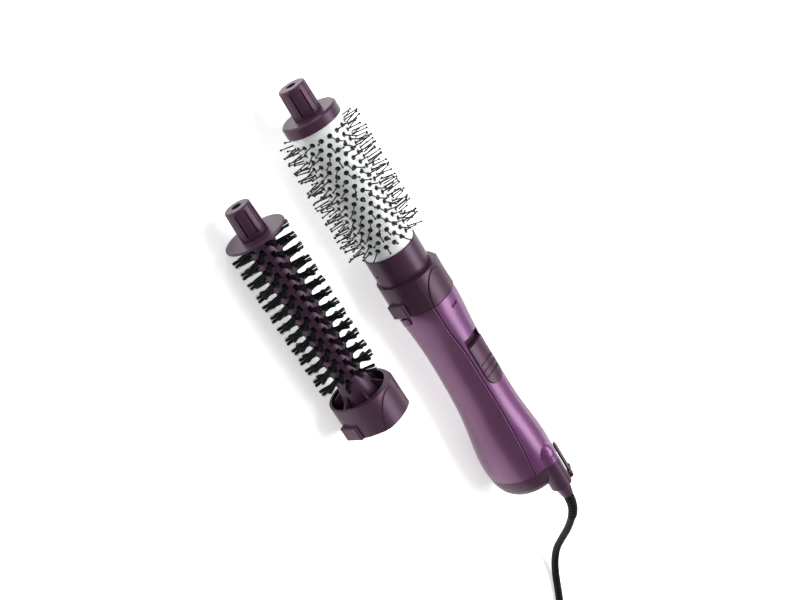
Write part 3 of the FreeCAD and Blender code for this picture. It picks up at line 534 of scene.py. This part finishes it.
soften.width = rib_softness
soften.segments = 2
soften.limit_method = "ANGLE"
bpy.ops.object.modifier_apply(modifier=soften.name)
settle(relief, "strain_relief", angle=50)
relief.data.materials.append(rubber)
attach(relief, "handle")
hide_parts("cord_guard")

# %% [markdown]
# ## Pins
#
# The barrel's pins stop hair from slipping and keep fingers off the hot barrel. Each is a thin
# nylon stem with a ball on its end. They are moulded in rows on soft strips inside the barrel,
# so in use they lean every way. One pin is modelled, then copied to each hole with its own
# small lean. As there are over three hundred, each has only a few dozen faces. The models are
# made in millimetres, and shrunk to metres as they are copied.

# %% One pin, pointing up
pin_root, pin_reach, pin_ball = 17.4, 30.0, 0.86
stem_radius = 0.38
stem_length = pin_reach - pin_ball - pin_root
root_flare = 1.6
deselect()
bpy.ops.mesh.primitive_uv_sphere_add(segments=8, ring_count=6, radius=pin_ball,
                                     location=(0, 0, stem_length))
ball = bpy.context.object
bpy.ops.mesh.primitive_cylinder_add(vertices=6, radius=stem_radius, end_fill_type="NOTHING",
                                    depth=stem_length, location=(0, 0, stem_length / 2))
stem = bpy.context.object
bpy.ops.object.mode_set(mode="EDIT")
bpy.ops.mesh.select_mode(type="VERT")
bpy.ops.mesh.select_all(action="DESELECT")
bpy.ops.object.mode_set(mode="OBJECT")
for vertex in stem.data.vertices:
    vertex.select = vertex.co.z < 0
bpy.ops.object.mode_set(mode="EDIT")
bpy.ops.transform.resize(value=(root_flare, root_flare, 1.0))
bpy.ops.object.mode_set(mode="OBJECT")
pick(stem, ball)
bpy.ops.object.join()
settle(stem, "one_pin", angle=60)


# %% [markdown]
# A copy is the same mesh under a matrix. This helper joins any number of placed copies into
# one piece, so that a comb of pins or a row of tufts is one object with one mesh.

# %% Place copies of a model
def copies(model, matrices, name):
    made = []
    for matrix in matrices:
        each = model.copy()
        each.data = model.data.copy()
        bpy.context.scene.collection.objects.link(each)
        each.matrix_world = matrix
        made.append(each)
    pick(*made)
    if len(made) > 1:
        bpy.ops.object.join()
    piece = bpy.context.view_layer.objects.active
    bpy.ops.object.transform_apply(location=True, rotation=True, scale=True)
    piece.name = piece.data.name = name
    return piece


def round_axis(axis_y, axis_z, degrees, radius, x):
    """A frame that stands on a cylinder about X: its own Z points outwards. Millimetres."""
    out = math.radians(degrees)
    return (Matrix.Scale(MM, 4)
            @ Matrix.Translation((x, axis_y + radius * math.cos(out),
                                  axis_z + radius * math.sin(out)))
            @ Matrix.Rotation(out - math.pi / 2, 4, "X"))


# %% [markdown]
# The pins grow from a thin curved strip that lies against the inside of the barrel. A strip
# is a sixth of a tube: an open cylinder keeps only the faces that one comb covers, and a
# Solidify modifier gives it its wall.

# %% The strip that a comb's pins grow from
brush_y, brush_z = 40.6, 30.0
strip_ends = (-153.05, -48.15)
strip_radius, strip_wall = 18.1, 0.8
strip_sides = 180
comb_angle = 58.0
deselect()
bpy.ops.mesh.primitive_cylinder_add(
    vertices=strip_sides, radius=strip_radius, depth=strip_ends[1] - strip_ends[0],
    end_fill_type="NOTHING", rotation=(0, math.pi / 2, 0),
    location=(sum(strip_ends) / 2, 0, 0))
strip = bpy.context.object
bpy.ops.object.transform_apply(location=True, rotation=True, scale=True)
bpy.ops.object.mode_set(mode="EDIT")
bpy.ops.mesh.select_mode(type="FACE")
bpy.ops.mesh.select_all(action="DESELECT")
bpy.ops.object.mode_set(mode="OBJECT")
for face in strip.data.polygons:
    angle = math.degrees(math.atan2(face.center.y, face.center.z))
    face.select = abs(angle) > comb_angle / 2
bpy.ops.object.mode_set(mode="EDIT")
bpy.ops.mesh.delete(type="FACE")
bpy.ops.object.mode_set(mode="OBJECT")
wall = strip.modifiers.new("wall", "SOLIDIFY")
wall.thickness = strip_wall
wall.offset = -1.0
bpy.ops.object.modifier_apply(modifier=wall.name)
settle(strip, "one_strip", angle=40)

# %% Combs of pins
hole_rows, holes_round, comb_count = 17, 18, 6
first_hole_x, last_hole_x = -148.75, -61.75
hole_step = 360 / holes_round
row_shift = 0.5
in_comb = holes_round // comb_count
lean_along, lean_round = 15.0, 11.0
chance = random.Random(7)
for comb in range(comb_count):
    places = []
    for row in range(hole_rows):
        x = first_hole_x + row * (last_hole_x - first_hole_x) / (hole_rows - 1)
        for column in range(comb * in_comb, (comb + 1) * in_comb):
            degrees = hole_step * (column + row_shift * (row % 2))
            along = math.radians(lean_along * chance.uniform(-1, 1))
            sideways = math.radians(lean_round * chance.uniform(-1, 1))
            places.append(round_axis(brush_y, brush_z, degrees, pin_root, x)
                          @ Matrix.Rotation(along, 4, "Y") @ Matrix.Rotation(sideways, 4, "X"))
    pins = copies(stem, places, "pins_%d" % (comb + 1))
    middle_of_comb = hole_step * (comb * in_comb + (in_comb - 1) / 2 + row_shift / 2)
    backing = copies(strip, [round_axis(brush_y, brush_z, middle_of_comb, 0, 0)], "backing")
    pick(pins, backing)
    bpy.ops.object.join()
    pins.data.materials.clear()
    pins.data.materials.append(nylon)
    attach(pins, "thermal_head")
    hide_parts(combs[comb])
    print(pins.name, "has", len(places), "pins")
bpy.data.objects.remove(stem)
bpy.data.objects.remove(strip)

# %% [markdown]
# ## Bristle tufts
#
# The second head carries tufts of nylon bristle. Each tuft is a bundle of fine filaments
# folded into a slot of the core, so it is narrow at its root and fans out to a frayed edge.
# A solid block would look like a paddle, so real filaments are modelled: one thin tapered
# rod, copied into a bundle with small chance leans, then the bundle copied along a row.

# %% One filament and one tuft
root_radius, tip_radius = 7.9, 22.4
filament_length = tip_radius - root_radius
filaments_per_tuft = 46
thick_end, thin_end, shortest = 0.24, 0.16, 0.90
root_across, root_aside = 0.95, 0.55
fan_across, fan_aside = 1.5, 0.7
stray_across, stray_aside = 0.6, 0.3
deselect()
bpy.ops.mesh.primitive_cone_add(vertices=5, radius1=thick_end, radius2=thin_end,
                                depth=filament_length, location=(0, 0, filament_length / 2))
filament = bpy.context.object
settle(filament, "one_filament", angle=80)
places = []
for number in range(filaments_per_tuft):
    across = chance.uniform(-1, 1)
    aside = chance.uniform(-1, 1)
    stray = stray_across * chance.uniform(-1, 1)
    lean = math.atan2(fan_across * across + stray, filament_length)
    stray = stray_aside * chance.uniform(-1, 1)
    tilt = math.atan2(fan_aside * aside + stray, filament_length)
    length = chance.uniform(shortest, 1.0)
    places.append(Matrix.Translation((root_across * across, root_aside * aside, 0))
                  @ Matrix.Rotation(lean, 4, "Y") @ Matrix.Rotation(-tilt, 4, "X")
                  @ Matrix.Diagonal((1, 1, length, 1)))
tuft = copies(filament, places, "one_tuft")
bpy.data.objects.remove(filament)

# %% [markdown]
# No tuft stands quite straight after some use, so each leans a little its own way. On the real
# brush a turn of the knob draws every row in towards the core. Here every row rides on the
# bristle head as it stands.

# %% Rows of tufts
spare_y, spare_z = -46.4, 22.5
first_tuft_x, tuft_pitch, tufts_per_row = -120.60, 9.0, 13
row_step = 36.0
tuft_lean = 3.0
places = []
for number in range(tufts_per_row):
    lean = math.radians(tuft_lean * chance.uniform(-1, 1))
    places.append(Matrix.Translation((first_tuft_x + number * tuft_pitch, 0, root_radius))
                  @ Matrix.Rotation(lean, 4, "Y")
                  @ Matrix.Rotation(math.pi * (number % 2), 4, "Z"))
row_model = copies(tuft, places, "one_row")
for number, name in enumerate(rows):
    degrees = row_step * number
    shift = Matrix.Translation((-(number % 2) * tuft_pitch / 2, 0, 0))
    row = copies(row_model, [round_axis(spare_y, spare_z, degrees, 0, 0) @ shift],
                 "bristles_%d" % (number + 1))
    row.data.materials.append(bristle_black)
    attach(row, "bristle_head")
    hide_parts(name)
    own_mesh(row)
print("rows of tufts:", len(rows), "filaments:", len(rows) * tufts_per_row * filaments_per_tuft)
bpy.data.objects.remove(tuft)
bpy.data.objects.remove(row_model)
